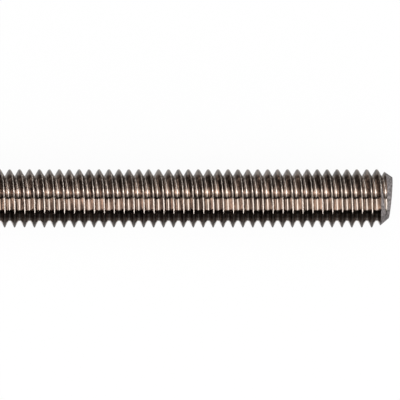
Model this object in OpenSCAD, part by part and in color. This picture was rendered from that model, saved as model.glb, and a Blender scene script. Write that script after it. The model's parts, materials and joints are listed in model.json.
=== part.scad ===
// Lead screw: a plain length of rolled screw rod, metric coarse profile, right hand.
// The axis lies on X. The square end is at the origin and the tip is at +X.

/* [Rod] */
// Length from the square end to the middle of the tip's cut face
rod_length = 60; // [20:1:100]
// Diameter of the flat face that the chamfer leaves on each end
end_face_d = 4.2; // [3.6:0.1:4.5]
// Angle of the chamfer's cone to its own axis, on each end
chamfer_angle = 37; // [30:1:45]

/* [Thread] */
// Diameter over the crests
major_d = 5.88; // [5.8:0.02:5.98]
// Distance from one crest to the next
pitch = 1; // [0.8:0.05:1.2]
// Angle between the two flanks of a groove
flank_angle = 60; // [55:1:65]
// Width of the flat on top of a crest
crest_flat = 0.148; // [0.1:0.002:0.2]
// Radius at the bottom of a groove
root_radius = 0.125; // [0.1:0.005:0.14]
// Angle round the rod, from +Y towards +Z, at which the crest passes the square end
crest_start = 166; // [0:1:359]

/* [Tip] */
// How far the tip's cut face is out of square
cut_lean = 5.3; // [0:0.1:8]
// How far the tip's chamfer leans the other way, ground on with the rod held out of line
chamfer_lean = 3.4; // [0:0.1:5]
// How far behind the cut face the rod was held while the chamfer was ground
grip_setback = 5.4; // [3:0.1:8]
// Angle round the rod, from +Y towards +Z, of the side that the cut leaves longest
long_side = 8; // [0:1:359]

/* [Facets] */
// Flat steps in one turn of the thread, lowered by itself on a rod too long for facet_limit
turn_steps = 24; // [12:1:36]
// Most triangles that the thread may take
facet_limit = 12000; // [4000:500:12500]

/* [Hidden] */
$fn = 96;

major_r = major_d / 2;
end_face_r = end_face_d / 2;

// Groove: two straight flanks that would meet in a sharp V, with the root radius laid in it.
half_flank = flank_angle / 2;
sharp_depth = (pitch - crest_flat) / 2 / tan(half_flank);
root_lift = root_radius * (1 / sin(half_flank) - 1);
root_r = major_r - sharp_depth + root_lift;
root_flat = 2 * root_lift * tan(half_flank);

// One pitch of the section along the axis, as [axial place, radius], from one crest to the next.
section = [
    [-crest_flat / 2, major_r],
    [crest_flat / 2, major_r],
    [(pitch - root_flat) / 2, root_r],
    [(pitch + root_flat) / 2, root_r]
];
corners = len(section);

// The thread is swept past both ends, and the ends are then cut on it.
reach = rod_length + 2 * pitch + end_face_r * tan(cut_lean);
turns = ceil(reach / pitch);
lines = turns * corners;
steps = min(turn_steps, floor(facet_limit / (2 * lines)) - 1);

// Helical line number k of the section, where it crosses angular step s.
function on_line(s, k) =
    let (corner = section[k % corners], angle = crest_start + 360 * s / steps)
    [
        corner[0] + pitch * (floor(k / corners) + s / steps - 1),
        corner[1] * cos(angle),
        corner[1] * sin(angle)
    ];

// Point number of line k at step s: after a full turn each line becomes the one a pitch further on.
function at(s, k) = s < steps ? s * (lines + 1) + k : k + corners;

function patch(a, b, c, d) = [[a, b, c], [a, c, d]];

module thread() {
    surface_points = [for (s = [0:steps - 1], k = [0:lines]) on_line(s, k)];
    near_centre = len(surface_points);
    far_centre = near_centre + 1;
    far_x = pitch * (turns - 0.5);

    wall = [
        for (s = [0:steps - 1], k = [0:lines - 1])
            if (s < steps - 1 || k + corners < lines)
                each patch(at(s, k), at(s, k + 1), at(s + 1, k + 1), at(s + 1, k))
    ];

    // Each end closes with a fan from the axis to the last turn's edge.
    near_edge = [
        for (s = [0:steps]) at(s, 0),
        for (k = [corners - 1:-1:1]) at(0, k)
    ];
    far_edge = [
        for (s = [0:steps - 1]) at(s, lines),
        for (k = [1:corners]) at(steps - 1, lines - k)
    ];
    near_fan = [
        for (i = [0:len(near_edge) - 1])
            [near_centre, near_edge[i], near_edge[(i + 1) % len(near_edge)]]
    ];
    far_fan = [
        for (i = [0:len(far_edge) - 1])
            [far_centre, far_edge[(i + 1) % len(far_edge)], far_edge[i]]
    ];

    polyhedron(
        points = concat(surface_points, [[-pitch / 2, 0, 0], [far_x, 0, 0]]),
        faces = concat(wall, near_fan, far_fan)
    );
}

// Turns its children out of line with the axis by lean, towards the long side.
module leaning(lean) {
    rotate([long_side - 90, 0, 0])
        rotate([0, -lean, 0])
            children();
}

// Everything behind the flat face at x = 0.
module behind_face() {
    size = 2 * reach;
    translate([-size, -size / 2, -size / 2])
        cube(size);
}

// Everything inside the chamfer's cone, which has the end face's radius at x = face_x.
module inside_chamfer(face_x) {
    nose = end_face_r / 2 / tan(chamfer_angle);
    translate([face_x - reach, 0, 0])
        rotate([0, 90, 0])
            cylinder(
                h = reach + nose,
                r1 = end_face_r + reach * tan(chamfer_angle),
                r2 = end_face_r / 2
            );
}

module inside_square_end() {
    mirror([1, 0, 0])
        intersection() {
            behind_face();
            inside_chamfer(0);
        }
}

module inside_tip() {
    intersection() {
        translate([rod_length, 0, 0])
            leaning(-cut_lean)
                behind_face();
        translate([rod_length - grip_setback, 0, 0])
            leaning(chamfer_lean)
                inside_chamfer(grip_setback);
    }
}

module lead_screw() {
    color("#8d8078")
        intersection() {
            thread();
            inside_square_end();
            inside_tip();
        }
}

lead_screw();
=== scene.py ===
"""Lead screw: the finished look of a rolled steel screw rod, and the stage it is shown on."""

import json
from math import atan2, cos, degrees, pi, radians, sin, tan

import bpy
from bpy.props import FloatProperty, FloatVectorProperty, IntProperty, PointerProperty
from bpy.types import Operator, Panel, PropertyGroup
from mathutils import Matrix, Vector


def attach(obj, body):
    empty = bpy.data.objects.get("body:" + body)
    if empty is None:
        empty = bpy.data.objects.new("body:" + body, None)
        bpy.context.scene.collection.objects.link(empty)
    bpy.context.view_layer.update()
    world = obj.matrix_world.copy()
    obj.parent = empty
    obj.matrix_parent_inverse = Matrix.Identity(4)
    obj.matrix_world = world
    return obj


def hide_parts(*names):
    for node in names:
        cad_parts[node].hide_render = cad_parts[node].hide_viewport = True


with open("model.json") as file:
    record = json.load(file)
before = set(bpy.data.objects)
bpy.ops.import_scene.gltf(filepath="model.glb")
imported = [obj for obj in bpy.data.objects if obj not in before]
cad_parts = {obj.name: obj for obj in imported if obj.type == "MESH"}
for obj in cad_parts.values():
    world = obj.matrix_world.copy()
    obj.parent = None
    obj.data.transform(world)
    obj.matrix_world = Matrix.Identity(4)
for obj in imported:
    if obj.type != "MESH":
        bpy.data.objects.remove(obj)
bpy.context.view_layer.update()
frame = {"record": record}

bl_info = {
    "name": "Lead Screw",
    "version": (1, 0, 0),
    "blender": (4, 5, 0),
    "location": "3D View > Sidebar > Lead Screw",
    "description": "Rolls a screw rod, cuts and chamfers its ends, and sets a studio stage for it",
    "category": "Add Mesh",
}

NODE = "lead_screw"
MM = 0.001

# Which solid a face of the rod was left by
BY_THREAD, BY_CHAMFER, BY_CUT = range(3)

# ---------------------------------------------------------------------------------------------
# What the frame says
# ---------------------------------------------------------------------------------------------

mounts = {mount["name"]: mount for mount in frame["record"]["mounts"]}
tip_centre = Vector(mounts["tip_face"]["pos_m"])
tip_normal = Vector(mounts["tip_face"]["axis"]).normalized()
# The cut leans away from the side that it leaves longest.
tip_cut_lean = tip_normal.angle(Vector((1, 0, 0)))
tip_long_side = atan2(-tip_normal.z, -tip_normal.y)


# ---------------------------------------------------------------------------------------------
# Sizes, finishes and stage that a user may change
# ---------------------------------------------------------------------------------------------

def length(name, description, default, low=0.0, high=10.0):
    return FloatProperty(
        name=name, description=description, default=default, min=low, max=high,
        precision=5, subtype="DISTANCE", unit="LENGTH",
    )


def angle(name, description, default, low=-pi, high=2 * pi):
    return FloatProperty(
        name=name, description=description, default=default, min=low, max=high,
        subtype="ANGLE", unit="ROTATION",
    )


def colour(name, description, default):
    return FloatVectorProperty(
        name=name, description=description, default=default, min=0.0, max=1.0,
        size=3, subtype="COLOR",
    )


class ScrewSizes(PropertyGroup):
    """Sizes of the rod, its thread and its two ends."""

    rod_length: length(
        "Rod length", "From the square end to the middle of the cut tip", tip_centre.x
    )
    major_diameter: length("Major diameter", "Diameter over the crests", 5.856 * MM)
    pitch: length("Pitch", "From one crest to the next", 1.0 * MM, 0.2 * MM)
    flank_angle: angle("Flank angle", "Between the two flanks of a groove", radians(60))
    crest_flat: length("Crest flat", "Width of a crest before its edges are rounded", 0.1 * MM)
    crest_round: length("Crest rounding", "Radius on the two edges of a crest", 0.09 * MM)
    root_radius: length("Root radius", "Radius at the bottom of a groove", 0.13 * MM)
    crest_start: angle(
        "Crest start", "Where a crest passes the square end, from +Y to +Z", radians(166)
    )
    end_face_diameter: length(
        "End face", "Flat face that the chamfer leaves on each end", 4.14 * MM
    )
    chamfer_angle: angle("Chamfer angle", "Between the chamfer's cone and its axis", radians(37))
    chamfer_lean: angle("Chamfer lean", "How far the tip's chamfer is out of line", radians(4.1))
    chamfer_side: angle(
        "Chamfer side", "Side that the tip's chamfer leans to, from +Y to +Z", radians(-15)
    )
    grip_setback: length(
        "Grip setback", "Where the leaning chamfer's axis crosses the rod's", 5.4 * MM
    )
    steps_per_turn: IntProperty(
        name="Steps in a turn", description="Flat steps in one turn of the thread",
        default=64, min=12, max=96,
    )


class ScrewFinish(PropertyGroup):
    """Colours and wear of the steel, with painted shade on the flanks."""

    steel: colour("Rolled steel", "Colour of the rolled thread", (0.54, 0.47, 0.42))
    # The flanks' darker, browner colour is painted shade and repeated reflection from the grooves.
    shaded_flank_steel: colour("Flanks", "Colour of the browner flanks of the thread", (0.42, 0.338, 0.29))
    ground_steel: colour("Ground steel", "Colour of the ground ends", (0.35, 0.322, 0.32))
    wear: length("Wear", "Deepest wear on a crest", 0.02 * MM)
    seed: IntProperty(name="Seed", description="Seed of the wear", default=3)


class ScrewStage(PropertyGroup):
    """Camera and studio round the rod."""

    view_yaw: angle("View yaw", "How far the camera stands to the square end's side", radians(5.15))
    view_pitch: angle("View pitch", "How far the camera looks down", radians(63.5))
    view_distance: length("View distance", "From the camera to the rod", 1.65)
    frame_width: length("Frame width", "What the view spans at the rod", 40.17 * MM)
    frame_from_tip: length(
        "Frame from tip", "From the view's middle to the tip, along the rod", 19.21 * MM
    )
    frame_drop: length("Frame drop", "How far the view's middle is below the axis", 0.163 * MM)
    floor_colour: colour("Floor", "Colour of the pale floor", (0.96, 0.96, 0.96))


# ---------------------------------------------------------------------------------------------
# Node tree helpers
# ---------------------------------------------------------------------------------------------

class Graph:
    """Adds and links nodes in one tree, from left to right."""

    def __init__(self, tree):
        self.tree = tree
        self.count = 0

    def add(self, kind, **settings):
        node = self.tree.nodes.new(kind)
        node.location = (200 * self.count, -40 * (self.count % 7))
        self.count += 1
        for name, value in settings.items():
            setattr(node, name, value)
        return node

    def feed(self, socket, value):
        if isinstance(value, bpy.types.NodeSocket):
            self.tree.links.new(value, socket)
        elif value is not None:
            socket.default_value = value

    def make(self, kind, inputs=(), output=0, **settings):
        """Adds a node, feeds its inputs by name or number, and returns one output socket."""
        node = self.add(kind, **settings)
        for key, value in dict(inputs).items():
            self.feed(node.inputs[key], value)
        return node.outputs[output]

    def math(self, operation, a, b=None, c=None):
        return self.make("ShaderNodeMath", {0: a, 1: b, 2: c}, operation=operation)

    def times(self, first, *others):
        """The product of all the values."""
        for other in others:
            first = self.math("MULTIPLY", first, other)
        return first

    def apart(self, a, b):
        """How far a is from b, either way."""
        return self.math("ABSOLUTE", self.math("SUBTRACT", a, b))

    def round_axis(self, y, z):
        """Distance from the rod's axis."""
        return self.math("SQRT", self.math("ADD", self.times(y, y), self.times(z, z)))

    def parts(self, vector):
        """The vector's x, y and z."""
        node = self.add("ShaderNodeSeparateXYZ")
        self.feed(node.inputs[0], vector)
        return tuple(node.outputs)

    def vector(self, x=0.0, y=0.0, z=0.0):
        return self.make("ShaderNodeCombineXYZ", {0: x, 1: y, 2: z})

    def remap(self, value, low, high, to_low=0.0, to_high=1.0, smooth=True):
        """Follows value from low to high, and holds still outside them."""
        return self.make(
            "ShaderNodeMapRange",
            {0: value, 1: low, 2: high, 3: to_low, 4: to_high},
            interpolation_type="SMOOTHSTEP" if smooth else "LINEAR",
        )

    def fade(self, value, low, high, full=1.0, least=0.0):
        """Full up to low, and least from high on."""
        return self.remap(value, low, high, full, least)

    def mix(self, share, a, b):
        """a where share is 0, and b where it is 1."""
        return self.make("ShaderNodeMix", {0: share, 2: a, 3: b})

    def tinted(self, colour_value, tone):
        """The colour, lighter or darker by tone."""
        return self.make(
            "ShaderNodeVectorMath", {0: tuple(colour_value), "Scale": tone}, operation="SCALE"
        )

    def noise(self, place, scale, detail, roughness=0.5):
        return self.make(
            "ShaderNodeTexNoise",
            {"Vector": place, "Scale": scale, "Detail": detail, "Roughness": roughness},
        )


def geometry_tree(name, sockets):
    """A Geometry Nodes tree with a geometry in and out and the named inputs."""
    tree = bpy.data.node_groups.new(name, "GeometryNodeTree")
    interface = tree.interface
    interface.new_socket("Geometry", in_out="INPUT", socket_type="NodeSocketGeometry")
    for socket_name, kind in sockets:
        interface.new_socket(socket_name, in_out="INPUT", socket_type="NodeSocket" + kind)
    interface.new_socket("Geometry", in_out="OUTPUT", socket_type="NodeSocketGeometry")
    graph = Graph(tree)
    return tree, graph, graph.add("NodeGroupInput").outputs


def end_tree(graph, geometry, materials):
    """Ends the tree with its material, or with several and the faces that each is for."""
    whole = graph.make("GeometryNodeRealizeInstances", {"Geometry": geometry})
    for material, selection in materials:
        whole = graph.make(
            "GeometryNodeSetMaterial",
            {"Geometry": whole, "Selection": selection, "Material": material},
        )
    output = graph.add("NodeGroupOutput")
    graph.feed(output.inputs[0], whole)


def run_tree(obj, tree, values):
    """Adds the tree to the object as a modifier with the given input values."""
    modifier = obj.modifiers.new(tree.name, "NODES")
    modifier.node_group = tree
    identifiers = {
        item.name: item.identifier
        for item in tree.interface.items_tree
        if item.in_out == "INPUT"
    }
    for name, value in values.items():
        modifier[identifiers[name]] = value


# ---------------------------------------------------------------------------------------------
# The rolled rod
# ---------------------------------------------------------------------------------------------

def arc(centre, radius, start, end, steps):
    """Points on an arc about centre, with angles in degrees from the rod's axis."""
    angles = [radians(start + (end - start) * k / steps) for k in range(steps + 1)]
    return [(centre[0] + radius * cos(a), centre[1] + radius * sin(a)) for a in angles]


def thread_section(sizes, crest_steps=4, root_steps=8, support=0.06):
    """One pitch of the section as (axial place, radius), from one crest's flat to the next.

    support is the share of a flank between its end and the extra corner that keeps it flat.
    """
    half_flank = sizes.flank_angle / 2
    crest_r = sizes.major_diameter / 2
    half_flat = sizes.crest_flat / 2
    sharp_r = crest_r - (sizes.pitch / 2 - half_flat) / tan(half_flank)
    round_inset = sizes.crest_round * tan(pi / 4 - half_flank / 2)
    flank_normal = degrees(half_flank)

    crest_centre = (half_flat - round_inset, crest_r - sizes.crest_round)
    root_centre = (sizes.pitch / 2, sharp_r + sizes.root_radius / sin(half_flank))
    crest = arc(crest_centre, sizes.crest_round, 90, flank_normal, crest_steps)
    root = arc(root_centre, sizes.root_radius, 180 + flank_normal, 360 - flank_normal, root_steps)

    def on_flank(share):
        return tuple(a + (b - a) * share for a, b in zip(crest[-1], root[0]))

    going_down = [*crest, on_flank(support), on_flank(1 - support)]
    going_up = [(sizes.pitch - x, r) for x, r in reversed(going_down)]
    flat_edge = (-crest[0][0], crest_r)
    return [flat_edge, *going_down, *root, *going_up]


def roll_thread_tree(patch_scale=1400.0, wear_depth=0.1 * MM, weld=0.002 * MM):
    """Sweeps a section along the helix, and closes both ends of the sweep on the axis.

    patch_scale sets the size of the worn patches, and wear_depth how far below the crests the
    wear fades out.
    """
    tree, graph, given = geometry_tree("Roll thread", [
        ("Pitch", "Float"), ("Turns", "Int"), ("Steps", "Int"), ("Start Angle", "Float"),
        ("Crest Radius", "Float"), ("Wear", "Float"), ("Seed", "Float"), ("Material", "Material"),
    ])
    corners = graph.make(
        "GeometryNodeAttributeDomainSize", {"Geometry": given["Geometry"]}, "Point Count",
        component="MESH",
    )
    last_step = graph.times(given["Turns"], given["Steps"])
    rows = graph.math("ADD", last_step, 1.0)
    grid = graph.make(
        "GeometryNodeMeshGrid",
        {"Size X": 1.0, "Size Y": 1.0, "Vertices X": rows, "Vertices Y": corners},
    )

    # Each point of the grid knows its step along the helix and its corner of the section.
    index = graph.make("GeometryNodeInputIndex")
    step = graph.math("FLOOR", graph.math("DIVIDE", index, corners))
    corner = graph.math("SUBTRACT", index, graph.times(step, corners))
    position = graph.make("GeometryNodeInputPosition")
    section = graph.make(
        "GeometryNodeSampleIndex",
        {"Geometry": given["Geometry"], "Value": position, "Index": corner},
        data_type="FLOAT_VECTOR", domain="POINT",
    )
    section_x, section_r, _ = graph.parts(section)

    turn = graph.math("SUBTRACT", graph.math("DIVIDE", step, given["Steps"]), 1.0)
    x = graph.math("ADD", section_x, graph.times(turn, given["Pitch"]))
    around = graph.math("ADD", graph.times(turn, 2 * pi), given["Start Angle"])
    cos_around = graph.math("COSINE", around)
    sin_around = graph.math("SINE", around)

    # Crests are worn a little, more in some places than in others.
    place = graph.vector(
        graph.math("ADD", x, graph.times(given["Seed"], 0.1)),
        graph.times(section_r, cos_around),
        graph.times(section_r, sin_around),
    )
    worn = graph.remap(graph.noise(place, patch_scale, detail=2.0), 0.48, 0.75)
    below = graph.math("SUBTRACT", given["Crest Radius"], section_r)
    on_crest = graph.fade(below, 0.0, wear_depth)
    wear = graph.times(worn, on_crest, given["Wear"])
    radius = graph.math("SUBTRACT", section_r, wear)
    rolled = graph.vector(x, graph.times(radius, cos_around), graph.times(radius, sin_around))

    # The sweep's open edges are its first and last rows, and the sides that meet no other turn.
    def both(a, b):
        return graph.make("FunctionNodeBooleanMath", {0: a, 1: b}, operation="AND")

    def either(a, b):
        return graph.make("FunctionNodeBooleanMath", {0: a, 1: b}, operation="OR")

    last_corner = graph.math("SUBTRACT", corners, 1.0)
    at_first = graph.math("COMPARE", corner, 0.0, 0.5)
    at_last = graph.math("COMPARE", corner, last_corner, 0.5)
    last_turn = graph.math("SUBTRACT", last_step, given["Steps"])
    near = either(
        both(at_first, graph.math("LESS_THAN", step, graph.math("ADD", given["Steps"], 0.5))),
        graph.math("COMPARE", step, 0.0, 0.5),
    )
    far = either(
        both(at_last, graph.math("GREATER_THAN", step, graph.math("SUBTRACT", last_turn, 0.5))),
        graph.math("COMPARE", step, last_step, 0.5),
    )
    near_centre = graph.vector(graph.times(given["Pitch"], -0.5))
    far_centre = graph.vector(
        graph.times(given["Pitch"], graph.math("SUBTRACT", given["Turns"], 0.5))
    )
    closed = rolled
    for at_edge, centre in ((near, near_centre), (far, far_centre)):
        closed = graph.make(
            "GeometryNodeSwitch", {"Switch": at_edge, "False": closed, "True": centre},
            input_type="VECTOR",
        )
    sweep = graph.make("GeometryNodeSetPosition", {"Geometry": grid, "Position": closed})
    welded = graph.make("GeometryNodeMergeByDistance", {"Geometry": sweep, "Distance": weld})
    end_tree(graph, welded, [(given["Material"], None)])
    return tree


def finish_ends_tree(cone_sides=192):
    """Cuts the sweep to length and grinds a chamfer on each end."""
    tree, graph, given = geometry_tree("Finish ends", [
        ("Rod Length", "Float"), ("Reach", "Float"), ("End Face Radius", "Float"),
        ("Chamfer Angle", "Float"), ("Chamfer Lean", "Float"), ("Grip Setback", "Float"),
        ("Chamfer Side", "Float"), ("Cut Lean", "Float"), ("Long Side", "Float"),
        ("Thread Material", "Material"), ("Chamfer Material", "Material"),
        ("Face Material", "Material"), ("Sharp Edge", "Float"),
    ])
    reach = given["Reach"]
    slope = graph.math("TANGENT", given["Chamfer Angle"])
    nose_radius = graph.times(given["End Face Radius"], 0.5)
    nose = graph.math("DIVIDE", nose_radius, slope)
    base_radius = graph.math("ADD", given["End Face Radius"], graph.times(reach, slope))

    def placed(geometry, translation=None, rotation=None):
        return graph.make(
            "GeometryNodeTransform",
            {"Geometry": geometry, "Translation": translation, "Rotation": rotation},
        )

    def leaning(geometry, lean, side):
        """Turned out of line by lean, towards the side at that angle from +Y to +Z."""
        tilted = placed(geometry, rotation=graph.vector(0.0, graph.times(lean, -1.0), 0.0))
        return placed(tilted, rotation=graph.vector(graph.math("SUBTRACT", side, pi / 2)))

    def marked(geometry, mark):
        """Marks the faces that this solid leaves on the rod."""
        return graph.make(
            "GeometryNodeStoreNamedAttribute",
            {"Geometry": geometry, "Name": "cut_by", "Value": mark},
            data_type="INT", domain="FACE",
        )

    # Both cones point along +X and have the end face's radius at x = 0.
    cone = graph.make(
        "GeometryNodeMeshCone",
        {
            "Vertices": cone_sides, "Radius Top": nose_radius, "Radius Bottom": base_radius,
            "Depth": graph.math("ADD", reach, nose),
        },
        fill_type="TRIANGLE_FAN",
    )
    cone = placed(cone, rotation=graph.vector(0.0, pi / 2, 0.0))
    cone = placed(cone, translation=graph.vector(graph.times(reach, -1.0)))
    cone = marked(cone, BY_CHAMFER)

    # The block lies behind the plane x = 0.
    size = graph.times(reach, 2.0)
    block = graph.make("GeometryNodeMeshCube", {"Size": graph.vector(size, size, size)})
    block = placed(block, translation=graph.vector(graph.times(reach, -1.0)))
    block = marked(block, BY_CUT)

    turned_back = graph.vector(0.0, 0.0, pi)
    square_cone = placed(cone, rotation=turned_back)
    square_block = placed(block, rotation=turned_back)
    tip_cone = placed(
        leaning(
            placed(cone, translation=graph.vector(given["Grip Setback"])),
            given["Chamfer Lean"], given["Chamfer Side"],
        ),
        translation=graph.vector(
            graph.math("SUBTRACT", given["Rod Length"], given["Grip Setback"])
        ),
    )
    tip_block = placed(
        leaning(block, graph.times(given["Cut Lean"], -1.0), given["Long Side"]),
        translation=graph.vector(given["Rod Length"]),
    )
    boolean = graph.add("GeometryNodeMeshBoolean", operation="INTERSECT", solver="MANIFOLD")
    thread = marked(given["Geometry"], BY_THREAD)
    for solid in (thread, square_cone, square_block, tip_cone, tip_block):
        graph.tree.links.new(solid, boolean.inputs["Mesh 2"])
    whole = boolean.outputs["Mesh"]

    # Faces are smooth, and edges stay sharp where the surface turns.
    whole = graph.make(
        "GeometryNodeSetShadeSmooth", {"Geometry": whole, "Shade Smooth": True}, domain="FACE"
    )
    turn = graph.make("GeometryNodeInputMeshEdgeAngle")
    sharp = graph.math("GREATER_THAN", turn, given["Sharp Edge"])
    whole = graph.make(
        "GeometryNodeSetShadeSmooth",
        {"Geometry": whole, "Selection": sharp, "Shade Smooth": False}, domain="EDGE",
    )
    cut_by = graph.make("GeometryNodeInputNamedAttribute", {"Name": "cut_by"}, data_type="INT")
    end_tree(graph, whole, [
        (given["Thread Material"], None),
        (given["Chamfer Material"], graph.math("COMPARE", cut_by, BY_CHAMFER, 0.5)),
        (given["Face Material"], graph.math("COMPARE", cut_by, BY_CUT, 0.5)),
    ])
    return tree


def section_object(sizes):
    """The section as a chain of edges in the XY plane, along X and out along Y."""
    points = thread_section(sizes)
    mesh = bpy.data.meshes.new("thread_section")
    edges = [(k, k + 1) for k in range(len(points) - 1)]
    mesh.from_pydata([(x, r, 0.0) for x, r in points], edges, [])
    section = bpy.data.objects.new("thread_section", mesh)
    bpy.context.scene.collection.objects.link(section)
    return section


def plain_mesh(obj, name):
    """The evaluated object as a mesh object with no modifiers. The first object is removed."""
    evaluated = obj.evaluated_get(bpy.context.evaluated_depsgraph_get())
    mesh = bpy.data.meshes.new_from_object(evaluated)
    mesh.name = name
    piece = bpy.data.objects.new(name, mesh)
    bpy.context.scene.collection.objects.link(piece)
    bpy.data.objects.remove(obj)
    return piece


class LEADSCREW_OT_roll_rod(Operator):
    """Rolls the thread, cuts the rod to length and grinds its two ends"""

    bl_idname = "leadscrew.roll_rod"
    bl_label = "Roll the Rod"

    def execute(self, context):
        sizes = context.scene.lead_screw_sizes
        finish = context.scene.lead_screw_finish
        end_radius = sizes.end_face_diameter / 2
        reach = sizes.rod_length + 2 * sizes.pitch + end_radius * tan(tip_cut_lean)
        steel = rolled_steel(finish, sizes)
        rod = section_object(sizes)
        run_tree(rod, roll_thread_tree(), {
            "Pitch": sizes.pitch,
            "Turns": int(reach / sizes.pitch) + 1,
            "Steps": sizes.steps_per_turn,
            "Start Angle": sizes.crest_start,
            "Crest Radius": sizes.major_diameter / 2,
            "Wear": finish.wear,
            "Seed": float(finish.seed),
            "Material": steel,
        })
        run_tree(rod, finish_ends_tree(), {
            "Rod Length": sizes.rod_length,
            "Reach": reach,
            "End Face Radius": end_radius,
            "Chamfer Angle": sizes.chamfer_angle,
            "Chamfer Lean": sizes.chamfer_lean,
            "Grip Setback": sizes.grip_setback,
            "Chamfer Side": sizes.chamfer_side,
            "Cut Lean": tip_cut_lean,
            "Long Side": tip_long_side,
            "Thread Material": steel,
            "Chamfer Material": ground_steel(finish),
            "Face Material": sawn_steel(finish),
            "Sharp Edge": radians(18),
        })
        piece = plain_mesh(rod, "rolled_rod")
        piece.data.attributes.remove(piece.data.attributes["cut_by"])
        if not piece.data.polygons:
            raise RuntimeError("the rod came out empty")
        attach(piece, "root")
        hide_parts(NODE)
        return {"FINISHED"}


# ---------------------------------------------------------------------------------------------
# Finishes
# ---------------------------------------------------------------------------------------------

def emptied(owner):
    """The graph of a material or world, with no nodes in it."""
    owner.use_nodes = True
    owner.node_tree.nodes.clear()
    return Graph(owner.node_tree)


def new_material(name):
    """An empty material and its graph."""
    material = bpy.data.materials.new(name)
    return material, emptied(material)


def show(graph, socket, kind="ShaderNodeOutputMaterial"):
    """Makes the shader at the socket the one that is seen."""
    graph.feed(graph.add(kind).inputs["Surface"], socket)


def metal(name):
    """A new metallic material and its graph, with the shader's node ready to feed."""
    material, graph = new_material(name)
    shader = graph.add("ShaderNodeBsdfPrincipled")
    shader.inputs["Metallic"].default_value = 1.0
    show(graph, shader.outputs["BSDF"])
    return material, graph, shader


def stretched(graph, place, scale_x, scale_y, scale_z):
    """The place, scaled along each axis."""
    scales = (scale_x, scale_y, scale_z)
    return graph.vector(*[
        graph.times(part, scale) for part, scale in zip(graph.parts(place), scales)
    ])


def rolled_steel(finish, sizes):
    """Bright rolled steel: burnished crests and roots, a painted highlight on the crests, and
    flanks painted darker and browner as shade in the grooves, with fine lines.
    """
    crest_r = sizes.major_diameter / 2
    root_r = min(r for _, r in thread_section(sizes))
    # Distances from the axis over which the crests, the roots and the seam come in
    crest_band = (crest_r - 0.08 * MM, crest_r - 0.02 * MM)
    root_band = (root_r, root_r + 0.055 * MM)
    seam_band = (crest_r - 0.008 * MM, crest_r - 0.002 * MM)
    # The crest tone lightens the crests' colour as a painted highlight.
    line_tones, cloud_tones, crest_highlight_tone = (0.34, 1.2), (0.94, 1.04), 1.35
    flank_roughness, crest_roughness = (0.09, 0.13), (0.07, 0.24)
    root_roughness, seam_roughness = 0.1, 0.20
    bump_depth, bump_worn_off = 0.01 * MM, 0.6

    material, graph, shader = metal("rolled_steel")
    place = graph.make("ShaderNodeTexCoord", output="Object")
    _, y, z = graph.parts(place)
    distance = graph.round_axis(y, z)

    # The dies leave lines round the rod, so the noise is fine along it and drawn out round it.
    die_lines = graph.noise(
        stretched(graph, place, 6000.0, 350.0, 350.0), scale=1.0, detail=3.0, roughness=0.6
    )
    cloud = graph.noise(place, scale=900.0, detail=4.0)
    on_crest = graph.remap(distance, *crest_band)
    on_root = graph.fade(distance, *root_band)
    # Crests and roots are burnished, and they keep the lighter colour while the flanks take the
    # painted shade.
    burnished_unshaded = graph.math("MAXIMUM", on_crest, on_root)

    flank_tone = graph.remap(die_lines, 0.38, 0.62, *line_tones)
    # Random cloud tone, and a painted highlight that lightens the crests.
    cloud_and_crest_highlight_tone = graph.times(
        graph.remap(cloud, 0.25, 0.75, *cloud_tones),
        graph.remap(on_crest, 0.0, 1.0, 1.0, crest_highlight_tone),
    )
    # Painted shade: the flanks take the darker, browner colour.
    shaded_flank_colour = graph.tinted(finish.shaded_flank_steel, flank_tone)
    unshaded_burnished_colour = graph.tinted(finish.steel, cloud_and_crest_highlight_tone)
    colour_out = graph.make(
        "ShaderNodeMix", {0: burnished_unshaded, 4: shaded_flank_colour, 5: unshaded_burnished_colour}, 1,
        data_type="VECTOR",
    )
    graph.feed(shader.inputs["Base Color"], colour_out)

    # Rolling leaves a duller seam along the middle of each crest. Beside it the crest is
    # bright, with duller patches.
    seam = graph.remap(distance, *seam_band)
    beside_seam = graph.remap(die_lines, 0.5, 0.62, *crest_roughness)
    crest_dull = graph.mix(seam, beside_seam, seam_roughness)
    burnished_dull = graph.mix(on_crest, root_roughness, crest_dull)
    flank_dull = graph.remap(cloud, 0.3, 0.7, *flank_roughness)
    graph.feed(shader.inputs["Roughness"], graph.mix(burnished_unshaded, flank_dull, burnished_dull))

    # The lines scatter light along the rod, and hardly round it.
    shader.inputs["Anisotropic"].default_value = 1.0
    graph.feed(shader.inputs["Tangent"], graph.vector(1.0))
    bump_strength = graph.math("SUBTRACT", 1.0, graph.times(burnished_unshaded, bump_worn_off))
    bump = graph.make(
        "ShaderNodeBump",
        {"Strength": bump_strength, "Distance": bump_depth, "Height": die_lines},
    )
    graph.feed(shader.inputs["Normal"], bump)
    return material


def ground_finish(name, colour_value, mark_scales, mottle, roughness, depth):
    """Dull ground steel. Its marks are drawn out along the axis with the smallest scale."""
    material, graph, shader = metal(name)
    place = graph.make("ShaderNodeTexCoord", output="Object")
    marks = graph.noise(
        stretched(graph, place, *mark_scales), scale=1.0, detail=4.0, roughness=0.65
    )
    cloud = graph.noise(place, scale=1600.0, detail=3.0)
    tone = graph.times(
        graph.remap(marks, 0.36, 0.64, 1.0 - mottle, 1.0 + mottle),
        graph.remap(cloud, 0.3, 0.7, 0.92, 1.06),
    )
    graph.feed(shader.inputs["Base Color"], graph.tinted(colour_value, tone))
    dull = graph.remap(marks, 0.3, 0.7, roughness - 0.06, roughness + 0.08)
    graph.feed(shader.inputs["Roughness"], dull)
    bump = graph.make("ShaderNodeBump", {"Strength": 0.6, "Distance": depth, "Height": marks})
    graph.feed(shader.inputs["Normal"], bump)
    return material


def ground_steel(finish):
    """Chamfer ground on a wheel, with short marks round the rod."""
    return ground_finish(
        "ground_steel", finish.ground_steel, mark_scales=(6400.0, 3800.0, 3800.0),
        mottle=0.45, roughness=0.78, depth=0.016 * MM,
    )


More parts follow.
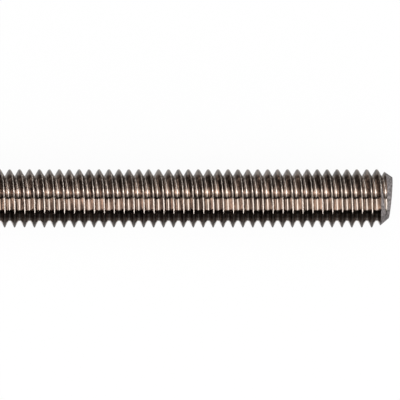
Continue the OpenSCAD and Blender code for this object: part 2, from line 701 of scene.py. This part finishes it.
def sawn_steel(finish):
    """End face left by the cut, with straight marks across it."""
    return ground_finish(
        "sawn_steel", finish.ground_steel, mark_scales=(500.0, 500.0, 13000.0),
        mottle=0.14, roughness=0.6, depth=0.008 * MM,
    )


# ---------------------------------------------------------------------------------------------
# The stage
# ---------------------------------------------------------------------------------------------

# Directions are given as an elevation round the rod, 0 level on the camera's side, 90 up and
# 180 level behind, and as a side, from square across the rod towards +X. Both are in degrees.

def round_the_rod(elevation):
    """Unit vector across the rod."""
    return Vector((0, -cos(radians(elevation)), sin(radians(elevation))))


def facing(direction, distance, centre):
    """Matrix of a plane at distance along direction from centre, with +Z looking back."""
    back = -direction
    side = (Vector((1, 0, 0)) - direction * direction.x).normalized()
    turned = Matrix((side, back.cross(side), back)).transposed().to_4x4()
    return Matrix.Translation(centre + direction * distance) @ turned


def softbox(name, centre, low, high, side, half_angle, radiance, distance=0.5):
    """An area lamp from low to high in elevation, turned to one side of the rod's middle."""
    height = 2 * distance * tan(radians(high - low) / 2)
    width = 2 * distance * tan(radians(half_angle))
    along = Vector((sin(radians(side)), 0, 0))
    direction = round_the_rod((low + high) / 2) * cos(radians(side)) + along
    lamp = bpy.data.lights.new(name, "AREA")
    lamp.shape = "RECTANGLE"
    lamp.size = width
    lamp.size_y = height
    lamp.energy = pi * width * height * radiance
    obj = bpy.data.objects.new(name, lamp)
    obj.matrix_world = facing(direction, distance, centre) @ Matrix.Rotation(pi, 4, "X")
    obj.visible_camera = False
    bpy.context.scene.collection.objects.link(obj)


def sheet(name, corners, faces, material):
    """A flat or folded sheet of the stage."""
    mesh = bpy.data.meshes.new(name)
    mesh.from_pydata(corners, [], faces)
    mesh.materials.append(material)
    obj = bpy.data.objects.new(name, mesh)
    bpy.context.scene.collection.objects.link(obj)
    return obj


def level_corners(half_width, near_y, far_y, height, middle_x=0.0):
    """Corners of a level rectangle that faces up."""
    low_x, high_x = middle_x - half_width, middle_x + half_width
    return [(low_x, near_y, height), (high_x, near_y, height),
            (high_x, far_y, height), (low_x, far_y, height)]


def seen_ray(graph):
    """1 for rays from the camera or off metal and through glass, where the pale surround shows."""
    rays = graph.add("ShaderNodeLightPath")
    seen = graph.math("MAXIMUM", rays.outputs["Is Camera Ray"], rays.outputs["Is Glossy Ray"])
    return graph.math("MAXIMUM", seen, rays.outputs["Is Transmission Ray"])


def floor_finish(floor_colour, glow=0.94, least_tone=0.99):
    """Pale floor. Most of its brightness is its own, so that only a light shadow stays on it."""
    material, graph = new_material("pale_floor")
    place = graph.make("ShaderNodeTexCoord", output="Object")
    grain = graph.noise(place, scale=300.0, detail=2.0)
    tone = graph.remap(grain, 0.3, 0.7, least_tone, 1.0)
    paint = graph.make("ShaderNodeBsdfDiffuse", {"Color": graph.tinted(floor_colour, tone)})
    own = graph.make("ShaderNodeEmission", {"Color": (1, 1, 1, 1), "Strength": 1.0})
    share = graph.times(seen_ray(graph), glow)
    show(graph, graph.make("ShaderNodeMixShader", {0: share, 1: paint, 2: own}))
    return material


def card_finish(name, radiance):
    """An even card: near 0 it is black velvet, and higher up a grey panel with light on it."""
    material, graph = new_material(name)
    show(graph, graph.make("ShaderNodeEmission", {"Color": (1, 1, 1, 1), "Strength": radiance}))
    return material


def overhead_finish(name, centre, peak, tail, strip, dark):
    """A ceiling with a bright panel overhead, a faint tail behind it and a thin strip across."""
    # Elevations and sides over which each part comes in or fades out
    slant_sides, slant_reach = (-2.0, 14.0), 14.0
    panel_front, panel_back = (78.0, 94.0), (100.0, 118.0)
    panel_left, panel_right = (-24.0, -6.0), (20.0, 46.0)
    tail_front, tail_back, tail_sides = (82.0, 98.0), (112.0, 170.0), (30.0, 50.0)
    band_side, band_edge, beside_band, tail_end = 13.0, (1.5, 6.0), 0.25, 0.35
    strip_height, strip_edge, strip_sides = 94.0, (1.5, 3.5), (38.0, 58.0)
    middle_side = 4.0

    material, graph = new_material(name)
    x, y, z = graph.parts(graph.make("ShaderNodeTexCoord", output="Object"))
    elevation = graph.math("DEGREES", graph.math("ARCTAN2", z, graph.times(y, -1.0)))
    along = graph.math("SUBTRACT", x, centre.x)
    side = graph.math("DEGREES", graph.math("ARCTAN2", along, graph.round_axis(y, z)))
    off_middle = graph.apart(side, middle_side)

    # The panel's front edge slants, and comes further forward towards +X.
    slant = graph.remap(side, *slant_sides, 0.0, slant_reach, smooth=False)
    panel = graph.times(
        graph.remap(graph.math("ADD", slant, elevation), *panel_front),
        graph.fade(elevation, *panel_back),
        graph.remap(side, *panel_left),
        graph.fade(side, *panel_right, peak),
    )
    # The tail is a narrow band between dimmer sides, and it fades towards the back.
    band = graph.times(
        graph.fade(graph.apart(side, band_side), *band_edge, tail, beside_band),
        graph.fade(off_middle, *tail_sides),
    )
    faint = graph.times(
        graph.remap(elevation, *tail_front),
        graph.fade(elevation, *tail_back, least=tail_end),
        band,
    )
    # The strip crosses the panel and runs on past its sides.
    line = graph.times(
        graph.fade(graph.apart(elevation, strip_height), *strip_edge, strip),
        graph.fade(off_middle, *strip_sides),
    )
    lit = graph.math("ADD", graph.math("ADD", panel, faint), graph.math("ADD", line, dark))
    show(graph, graph.make("ShaderNodeEmission", {"Color": (1, 1, 1, 1), "Strength": lit}))
    return material


def card(name, corners, faces, material):
    """A card that only reflections see."""
    obj = sheet(name, corners, faces, material)
    obj.visible_camera = False
    obj.visible_diffuse = False
    obj.visible_shadow = False
    obj.visible_transmission = False
    obj.visible_volume_scatter = False


def floor_card(name, material, height, centre, near_y, far_y, half_width=1.0):
    """A card on the floor from near_y to far_y."""
    corners = level_corners(half_width, near_y, far_y, height, centre.x)
    card(name, corners, [(0, 1, 2, 3)], material)


def hood(name, low, high, centre, material, distance=0.65, half_angle=74.0, step=5.0):
    """A card bent round the rod from low to high in elevation."""
    half_width = distance * tan(radians(half_angle))
    count = max(1, round((high - low) / step))
    corners = []
    for k in range(count + 1):
        place = centre + round_the_rod(low + (high - low) * k / count) * distance
        corners += [place - Vector((half_width, 0, 0)), place + Vector((half_width, 0, 0))]
    faces = [(2 * k, 2 * k + 1, 2 * k + 3, 2 * k + 2) for k in range(count)]
    card(name, corners, faces, material)


def set_world(seen=1.0, fill=0.62):
    """White where it is seen, and a softer fill for everything else."""
    world = bpy.data.worlds.new("studio")
    graph = emptied(world)
    strength = graph.remap(seen_ray(graph), 0.0, 1.0, fill, seen, smooth=False)
    background = graph.make("ShaderNodeBackground", {"Color": (1, 1, 1, 1), "Strength": strength})
    show(graph, background, "ShaderNodeOutputWorld")
    bpy.context.scene.world = world


def set_camera(stage, rod_length):
    """A long lens that looks down across the rod and keeps it level in the view."""
    yaw, pitch = stage.view_yaw, stage.view_pitch
    right = Vector((cos(yaw), -sin(yaw) * cos(pitch), sin(yaw) * sin(pitch)))
    up = Vector((0, sin(pitch), cos(pitch)))
    back = right.cross(up)
    target = Vector((rod_length - stage.frame_from_tip, 0, 0)) - up * stage.frame_drop
    camera = bpy.data.cameras.new("view")
    camera.sensor_width = 36.0
    camera.lens = camera.sensor_width * stage.view_distance / stage.frame_width
    camera.clip_start = 0.1
    camera.clip_end = 20.0
    obj = bpy.data.objects.new("view", camera)
    turned = Matrix((right, up, back)).transposed().to_4x4()
    obj.matrix_world = Matrix.Translation(target + back * stage.view_distance) @ turned
    bpy.context.scene.collection.objects.link(obj)
    bpy.context.scene.camera = obj


class LEADSCREW_OT_set_stage(Operator):
    """Lays the pale floor, sets the soft lamps and the cards, and places the camera"""

    bl_idname = "leadscrew.set_stage"
    bl_label = "Set the Stage"

    def execute(self, context):
        stage = context.scene.lead_screw_stage
        sizes = context.scene.lead_screw_sizes
        centre = Vector((sizes.rod_length - stage.frame_from_tip, 0, 0))
        floor_z = -sizes.major_diameter / 2
        reach = 2.5
        sheet(
            "floor", level_corners(reach, -reach, reach, floor_z), [(0, 1, 2, 3)],
            floor_finish(stage.floor_colour),
        )

        black = card_finish("black_card", 0.015)
        soft_black = card_finish("soft_black_card", 0.065)
        dim = card_finish("dim_card", 0.2)
        grey = card_finish("back_floor_card", 0.4)
        ceiling = overhead_finish(
            "lit_ceiling", centre, peak=2.4, tail=6.0, strip=2.0, dark=0.03
        )

        # The floor's cards meet edge to edge, but for a gap right under the rod.
        card_z = floor_z + 0.01 * MM
        front_y, strip_y, near_y, gap_y = -0.8, -10 * MM, -4.2 * MM, -1.9 * MM
        past_gap_y, behind_y, back_y = 2.5 * MM, 16 * MM, 2.0
        wide = 1.2
        floor_card("front_floor_card", black, card_z, centre, front_y, strip_y)
        floor_card("front_strip_card", soft_black, card_z, centre, strip_y, near_y)
        floor_card("near_floor_card", dim, card_z, centre, near_y, gap_y)
        floor_card("near_back_card", grey, card_z, centre, past_gap_y, behind_y, wide)
        floor_card("back_floor_card", dim, card_z, centre, behind_y, back_y, wide)

        hoods_meet = 70.0
        hood("front_hood", 0.0, hoods_meet, centre, black)
        hood("back_hood", hoods_meet, 180.0, centre, ceiling)
        softbox(
            "front_softbox", centre, low=-0.5, high=59.5, side=-5.0, half_angle=28.0,
            radiance=2.5,
        )
        softbox(
            "side_softbox", centre, low=-5.0, high=73.0, side=-60.0, half_angle=18.0,
            radiance=0.5,
        )
        softbox(
            "narrow_softbox", centre, low=4.0, high=55.0, side=52.0, half_angle=7.0,
            radiance=4.0,
        )
        set_world()
        context.scene.view_settings.view_transform = "Standard"
        set_camera(stage, sizes.rod_length)
        return {"FINISHED"}


# ---------------------------------------------------------------------------------------------
# Sidebar, registration and run
# ---------------------------------------------------------------------------------------------

class VIEW3D_PT_lead_screw(Panel):
    """Sizes and steps of the lead screw"""

    bl_label = "Lead Screw"
    bl_idname = "VIEW3D_PT_lead_screw"
    bl_space_type = "VIEW_3D"
    bl_region_type = "UI"
    bl_category = "Lead Screw"

    def draw(self, context):
        layout = self.layout
        scene = context.scene
        for group in (scene.lead_screw_sizes, scene.lead_screw_finish, scene.lead_screw_stage):
            box = layout.box()
            for name in group.__annotations__:
                box.prop(group, name)
        layout.operator(LEADSCREW_OT_roll_rod.bl_idname)
        layout.operator(LEADSCREW_OT_set_stage.bl_idname)


CLASSES = (
    ScrewSizes,
    ScrewFinish,
    ScrewStage,
    LEADSCREW_OT_roll_rod,
    LEADSCREW_OT_set_stage,
    VIEW3D_PT_lead_screw,
)


def register():
    for cls in CLASSES:
        bpy.utils.register_class(cls)
    bpy.types.Scene.lead_screw_sizes = PointerProperty(type=ScrewSizes)
    bpy.types.Scene.lead_screw_finish = PointerProperty(type=ScrewFinish)
    bpy.types.Scene.lead_screw_stage = PointerProperty(type=ScrewStage)


def unregister():
    del bpy.types.Scene.lead_screw_stage
    del bpy.types.Scene.lead_screw_finish
    del bpy.types.Scene.lead_screw_sizes
    for cls in reversed(CLASSES):
        bpy.utils.unregister_class(cls)


def main():
    register()
    bpy.ops.leadscrew.roll_rod()
    bpy.ops.leadscrew.set_stage()


if __name__ == "__main__":
    main()
